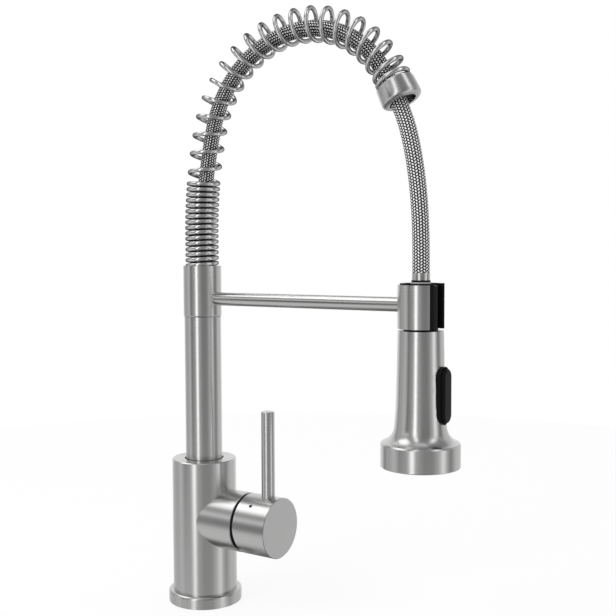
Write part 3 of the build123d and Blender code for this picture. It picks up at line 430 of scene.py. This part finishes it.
def stitchHeight(along, column):
    # From 0 in a gap to 1 on a stitch's crown. Neighbouring columns lean opposite ways
    place = column - math.floor(column)
    even = math.floor(column) % 2 == 0
    lean = place if even else 1 - place + 1 / braid["slant"] * 0.5
    phase = (along / braid["stitchLength"] + braid["slant"] * lean) % 1.0
    crown = 1 - abs(2 * phase - 1) ** braid["crownShape"]
    return crown * math.sin(math.pi * place) ** braid["columnShape"]


def makeBraid(name, centres, outerRadius, material, startAt=0.0):
    along = [startAt]
    for before, after in zip(centres, centres[1:]):
        along.append(along[-1] + (after - before).length)
    sides = braid["columns"] * braid["cornersPerColumn"]
    heights = [
        [stitchHeight(distance, corner / braid["cornersPerColumn"]) for corner in range(sides)]
        for distance in along
    ]
    tube = makeTube(
        name, centres, [Vector((0, 1, 0))] * len(centres), sides,
        lambda row, corner: outerRadius - braid["relief"] * (1 - heights[row][corner]), material,
    )
    attribute = tube.data.attributes.new("braidHeight", "FLOAT", "POINT")
    attribute.data.foreach_set("value", [height for row in heights for height in row] + [0.0, 0.0])
    return tube, along[-1]


# Hose inside the spring, nearer to the inner side of the arch
heldHose = {
    "radius": 0.0059,
    "points": (
        (0.0, 0, 0.255),
        (0.0, 0, 0.27818),
        (0.00275, 0, 0.31185),
        (0.00823, 0, 0.34518),
        (0.01574, 0, 0.37532),
        (0.03118, 0, 0.39909),
        (0.05352, 0, 0.41654),
        (0.08032, 0, 0.42577),
        (0.10866, 0, 0.42577),
        (0.13505, 0, 0.41547),
        (0.15588, 0, 0.39627),
        (0.16603, 0, 0.375449),
    ),
}


def makeHeldHose(setup):
    centres = routePoints("heldRoute", setup["points"], braid["steps"])
    sleeve, length = makeBraid("held_hose_sleeve", centres, setup["radius"], finishes["held_braid"])
    replaceNode("hose_in_arch")
    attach(sleeve, "spout")
    return length


# Free hose, from the end cap down to its ferrule: the same points as in the part's source
freeHose = {
    "points": (
        (0.16603, 0, 0.375449),
        (0.174008, 0, 0.359091),
        (0.1792, 0, 0.34),
        (0.1829, 0, 0.32),
        (0.1852, 0, 0.298),
        (0.1862, 0, 0.276),
        (0.1862, 0, 0.2555),
    ),
    "length": 0.1229,
    "diameter": 0.0118,
    "bendStart": (0.1676, 0, 0.372),
    "bendEnd": (0.1862, 0, 0.262),
}


def makeFreeHose(setup, startAt):
    centres = routePoints("freeRoute", setup["points"], braid["steps"])
    sleeve, end = makeBraid(
        "free_hose_sleeve", centres, setup["diameter"] / 2, finishes["hose_braid"], startAt,
    )
    replaceNode("hose_free")
    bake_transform(sleeve)
    return end - startAt


heldLength = makeHeldHose(heldHose)
freeLength = makeFreeHose(freeHose, heldLength)
print(f"hose sleeves made, {1000 * freeLength:.1f} mm of hose hangs free")

# Middle line of the arch in millimetres. Each run: straight length, or radius and degrees
arch = {
    "foot": 259.1,
    "runs": (
        (25.0, 0.0, 0.0),
        (0.0, 323.0, 14.0),
        (0.0, 87.5, 76.0),
        (0.0, 78.0, 64.0),
        (18.0, 0.0, 0.0),
    ),
}


def archPlace(distance):
    # x, height and heading from upright, this far along the middle line
    x, z, heading = 0.0, arch["foot"], 0.0
    for straight, radius, degrees in arch["runs"]:
        runLength = straight or radius * math.radians(degrees)
        step = min(distance, runLength)
        if straight:
            x, z = x + step * math.sin(heading), z + step * math.cos(heading)
        else:
            turned = heading + step / radius
            x += radius * (math.cos(heading) - math.cos(turned))
            z += radius * (math.sin(turned) - math.sin(heading))
            heading = turned
        distance -= step
        if distance <= 0:
            break
    else:
        x, z = x + distance * math.sin(heading), z + distance * math.cos(heading)
    return x, z, heading


# Arch spring, in millimetres and turns. Turn 0 is where the coils open
spring = {
    "coilRadius": 11.2,
    "wireRadius": 1.6,
    "endDrawIn": 0.5,
    "closedPitch": 4.09,
    "openPitch": 13.745,
    "pitchLoss": 0.05,
    "openStart": 63.637,
    "openTurns": 18.347,
    "rampTurns": 0.4,
    "endRampTurns": 1.0,
    "firstTurn": -15.995,
    "lastTurn": 20.87,
    "phase": 0.347,
    "stepsPerTurn": 28,
    "wireSides": 16,
}


def coilAdvance(turn):
    # Distance along the middle line at a turn: closed coils, open coils, closed coils
    half, closed, lost = spring["rampTurns"] / 2, spring["closedPitch"], spring["pitchLoss"]
    rampGain = (spring["openPitch"] - 2 * lost * half - closed) * half
    closedEnd = spring["openStart"] + (spring["openPitch"] - 2 * closed) * half - lost * half**2 - rampGain
    if turn < half:
        ramp = max(0.0, turn + half) / spring["rampTurns"]
        return closedEnd + closed * (turn + half) + rampGain * ramp**2
    openTurn = min(turn, spring["openTurns"])
    advance = spring["openStart"] + spring["openPitch"] * openTurn - lost * openTurn**2
    if turn > spring["openTurns"]:
        lastPitch = spring["openPitch"] - 2 * lost * spring["openTurns"]
        ramp = min(turn - spring["openTurns"], spring["endRampTurns"])
        advance += lastPitch * ramp + (closed - lastPitch) * ramp**2 / (2 * spring["endRampTurns"])
        advance += closed * max(0.0, turn - spring["openTurns"] - spring["endRampTurns"])
    return advance


def makeSpring():
    steps = round((spring["lastTurn"] - spring["firstTurn"]) * spring["stepsPerTurn"])
    centres, outwards = [], []
    for step in range(steps + 1):
        turn = spring["firstTurn"] + (spring["lastTurn"] - spring["firstTurn"]) * step / steps
        x, z, heading = archPlace(coilAdvance(turn))
        radius = spring["coilRadius"]
        radius -= spring["endDrawIn"] * max(0.0, 1 - 2 * (spring["lastTurn"] - turn))
        angle = -2 * math.pi * (turn - spring["phase"])
        spoke = Vector((
            -math.cos(angle) * math.cos(heading), math.sin(angle), math.cos(angle) * math.sin(heading),
        ))
        centres.append((Vector((x, 0, z)) + spoke * radius) / 1000)
        outwards.append(spoke)
    wire = makeTube(
        "arch_spring_wire", centres, outwards, spring["wireSides"],
        lambda row, corner: spring["wireRadius"] / 1000, finishes["spring_wire"],
    )
    replaceNode("arch_spring")
    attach(wire, "spout")


makeSpring()
print("arch spring wound")

# Ring that ends the spring, in millimetres: start along the arch, then radius and distance from there
endRing = {
    "start": 312.016,
    "corners": ((13.5, 0.0), (14.0, 7.1), (14.0, 10.5)),
    "round": 2.6,
    "roundSteps": 6,
    "inner": ((9.35, 13.1), (9.35, 3.1), (12.95, 3.1), (12.95, 0.0)),
    "sides": 96,
}


def makeEndRing(setup):
    x, z, heading = archPlace(setup["start"])
    start, travel = Vector((x, 0, z)), Vector((math.sin(heading), 0, math.cos(heading)))
    outward, side = Vector((-math.cos(heading), 0, math.sin(heading))), Vector((0, 1, 0))
    radius, distance = setup["corners"][-1]
    profile = list(setup["corners"])
    for step in range(1, setup["roundSteps"] + 1):
        angle = math.pi / 2 * step / setup["roundSteps"]
        inwards = setup["round"] * (1 - math.cos(angle))
        profile.append((radius - inwards, distance + setup["round"] * math.sin(angle)))
    profile += setup["inner"]
    points, faces = [], []
    for step in range(setup["sides"]):
        angle = 2 * math.pi * step / setup["sides"]
        spoke = outward * math.cos(angle) + side * math.sin(angle)
        points += [(start + travel * along + spoke * reach) / 1000 for reach, along in profile]
    count = len(profile)
    for step in range(setup["sides"]):
        here, there = step * count, (step + 1) % setup["sides"] * count
        for corner in range(count):
            after = (corner + 1) % count
            faces.append((here + corner, there + corner, there + after, here + after))
    ring = meshObject("spring_end_ring", points, faces, finishes["cap_steel"])
    replaceNode("spring_end_cap")
    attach(ring, "spout")


makeEndRing(endRing)
print("end ring turned")

# Floor, seen from above only. white is the share of plain white in what the camera sees
floorSetup = {
    "centre": (0.09, 0.0),
    "radius": 0.9,
    "sides": 96,
    "level": 0.9,
    "levelSpread": 0.01,
    "mottling": 3.0,
    "white": 0.88,
}


def makeFloor(setup):
    material, tree = newMaterial("paleFloor")
    camera = addNode(tree, "LightPath", None, None, "Is Camera Ray")
    seen = camera + camera.sibling("Is Glossy Ray") + camera.sibling("Is Transmission Ray")
    dark, light = (grey(setup["level"] + side * setup["levelSpread"]) for side in (-1, 1))
    tone = mixColours(tree, cloudsAt(tree, setup["mottling"]), dark, light)
    matt = addNode(tree, "BsdfDiffuse", None, {"Color": tone})
    white = addNode(tree, "Emission", None, {"Color": grey(1.0), "Strength": 1.0})
    above = addNode(tree, "MixShader", None, {0: seen * setup["white"], 1: matt, 2: white})
    fromBelow = addNode(tree, "NewGeometry", None, None, "Backfacing")
    clear = addNode(tree, "BsdfTransparent")
    finishMaterial(tree, addNode(tree, "MixShader", None, {0: fromBelow, 1: above, 2: clear}))
    points = []
    for side in range(setup["sides"]):
        angle = 2 * math.pi * side / setup["sides"]
        x = setup["centre"][0] + setup["radius"] * math.cos(angle)
        points.append((x, setup["centre"][1] + setup["radius"] * math.sin(angle), 0.0))
    floorDisc = meshObject("paleFloor", points, [tuple(range(setup["sides"]))], material)
    floorDisc.visible_glossy = False  # the tent's ground stands for it in the steel


makeFloor(floorSetup)

# Light tent for the steel's reflections. Azimuths are degrees to the right of the camera's own
# direction, and elevations are degrees above level
tent = {
    "cameraAzimuth": -56.8,
    "base": 0.5,
    "back": 0.95,
    "backFrom": 120.0,
    "backTo": 160.0,
    # level, middle, half width, softness, lowest and highest elevation, softness there
    "panels": (
        (0.50, -111.0, 8.0, 8.0, -90.0, 30.0, 8.0),
        (0.68, -88.0, 8.0, 6.0, -90.0, 30.0, 8.0),
        (0.33, -60.0, 13.0, 5.0, -90.0, 30.0, 8.0),
        (0.42, -10.0, 14.0, 4.0, -90.0, 60.0, 10.0),
        (0.25, 16.0, 20.0, 5.0, -90.0, 64.0, 10.0),
        (1.30, 61.0, 8.0, 6.0, -90.0, 34.0, 8.0),
        (0.20, 88.0, 8.0, 5.0, -90.0, 30.0, 8.0),
        (0.72, 122.0, 16.0, 8.0, -90.0, 30.0, 8.0),
        (2.30, -30.5, 5.6, 3.0, -90.0, 50.0, 6.0),
        (0.90, -70.0, 14.0, 5.0, 13.0, 24.0, 3.0),
        (0.33, -72.0, 22.0, 5.0, 28.0, 40.0, 3.0),
    ),
    # Everything below is laid over the panels, in this order
    "lowLevel": 0.64,
    "lowBlend": 0.6,
    "lowFrom": -11.0,
    "lowTo": -18.0,
    "upper": 0.28,
    "upperAbove": 38.0,
    "ground": 0.75,
    "groundBelow": -30.0,
    "groundDip": 0.18,
    "dipBefore": (25.0, 50.0),
    "dipBehind": (125.0, 150.0),
    "under": 0.18,
    "underBelow": -56.0,
    "top": 0.88,
    "topAbove": 76.0,
    "layerSoftness": 8.0,
    "boxes": (
        (2.00, -111.0, 38.0, 6.0, 41.0, 67.0, 5.0),
        (1.60, 60.0, 12.0, 6.0, 38.0, 64.0, 5.0),
        (2.00, -30.0, 8.0, 5.0, 40.0, 68.0, 5.0),
        (0.72, -74.0, 18.0, 6.0, -46.0, -20.0, 3.0),
        (0.10, -67.5, 5.0, 2.0, -12.0, 8.0, 3.0),
    ),
    "matt": 0.85,  # plain level that matt pieces and the floor are lit by
}


def bandMask(tree, value, middle, half, soft):
    rise = smoothStep(tree, value, middle - half - soft, middle - half + soft)
    return rise * (1 - smoothStep(tree, value, middle + half - soft, middle + half + soft))


def hangPanels(tree, level, azimuth, height, panels):
    for panelLevel, middle, half, soft, lowest, highest, softHeight in panels:
        mask = bandMask(tree, azimuth, middle, half, soft)
        mask = mask * bandMask(tree, height, (lowest + highest) / 2, (highest - lowest) / 2, softHeight)
        level = level + mask * (panelLevel - level)
    return level


def layPast(tree, level, height, edge, soft, newLevel, way=1):
    mask = smoothStep(tree, height * way, edge * way - soft, edge * way + soft)
    return level + mask * (newLevel - level)


def makeTent(setup):
    world = bpy.data.worlds.new("lightTent")
    world.use_nodes = True
    tree = world.node_tree
    tree.nodes.clear()
    degrees = 180 / math.pi
    way = addNode(tree, "TexCoord", None, None, "Generated")
    turn = math.radians(-setup["cameraAzimuth"])
    way = addNode(tree, "VectorRotate", {"rotation_type": "Z_AXIS"}, {"Vector": way, "Angle": turn})
    x = addNode(tree, "SeparateXYZ", None, {0: way}, "X")
    height = addNode(tree, "Math", {"operation": "ARCSINE"}, {0: x.sibling("Z")}) * degrees
    azimuth = addNode(tree, "Math", {"operation": "ARCTAN2"}, {0: x.sibling("Y"), 1: x}) * degrees
    aside = addNode(tree, "Math", {"operation": "ABSOLUTE"}, {0: azimuth})

    level = smoothStep(tree, aside, setup["backFrom"], setup["backTo"]) * (setup["back"] - setup["base"])
    level = hangPanels(tree, level + setup["base"], azimuth, height, setup["panels"])
    low = 1 - smoothStep(tree, height, setup["lowTo"], setup["lowFrom"])
    level = level + low * setup["lowBlend"] * (setup["lowLevel"] - level)
    dips = smoothStep(tree, aside, *setup["dipBehind"]) + 1 - smoothStep(tree, aside, *setup["dipBefore"])
    ground = setup["ground"] + dips * (setup["groundDip"] - setup["ground"])
    soft = setup["layerSoftness"]
    level = layPast(tree, level, height, setup["upperAbove"], soft, setup["upper"])
    level = layPast(tree, level, height, setup["groundBelow"], soft, ground, -1)
    level = layPast(tree, level, height, setup["underBelow"], soft, setup["under"], -1)
    level = layPast(tree, level, height, setup["topAbove"], soft, setup["top"])
    level = hangPanels(tree, level, azimuth, height, setup["boxes"])

    camera = addNode(tree, "LightPath", None, None, "Is Camera Ray")
    strength = level + camera.sibling("Is Diffuse Ray") * (setup["matt"] - level)
    strength = strength + (camera + camera.sibling("Is Transmission Ray")) * (1 - strength)
    light = addNode(tree, "Background", None, {"Color": grey(1.0), "Strength": strength})
    addNode(tree, "OutputWorld", None, {"Surface": light})
    bpy.context.scene.world = world


makeTent(tent)

# One soft lamp gives the matt pieces and the floor their shade
lampSetup = {"place": (-0.4, -1.1, 1.3), "aim": (0.09, 0.0, 0.15), "size": 0.9, "watts": 10.0}


def makeLamp(setup):
    data = bpy.data.lights.new("softLamp", "AREA")
    data.shape, data.size, data.energy = "DISK", setup["size"], setup["watts"]
    lamp = bpy.data.objects.new("softLamp", data)
    aim = Vector(setup["aim"]) - Vector(setup["place"])
    lamp.location = setup["place"]
    lamp.rotation_euler = aim.to_track_quat("-Z", "Y").to_euler()
    lamp.visible_glossy = False
    lamp.visible_camera = False
    bpy.context.scene.collection.objects.link(lamp)


makeLamp(lampSetup)
bpy.context.scene.view_settings.view_transform = "Standard"
print("stage, tent and lamp made")
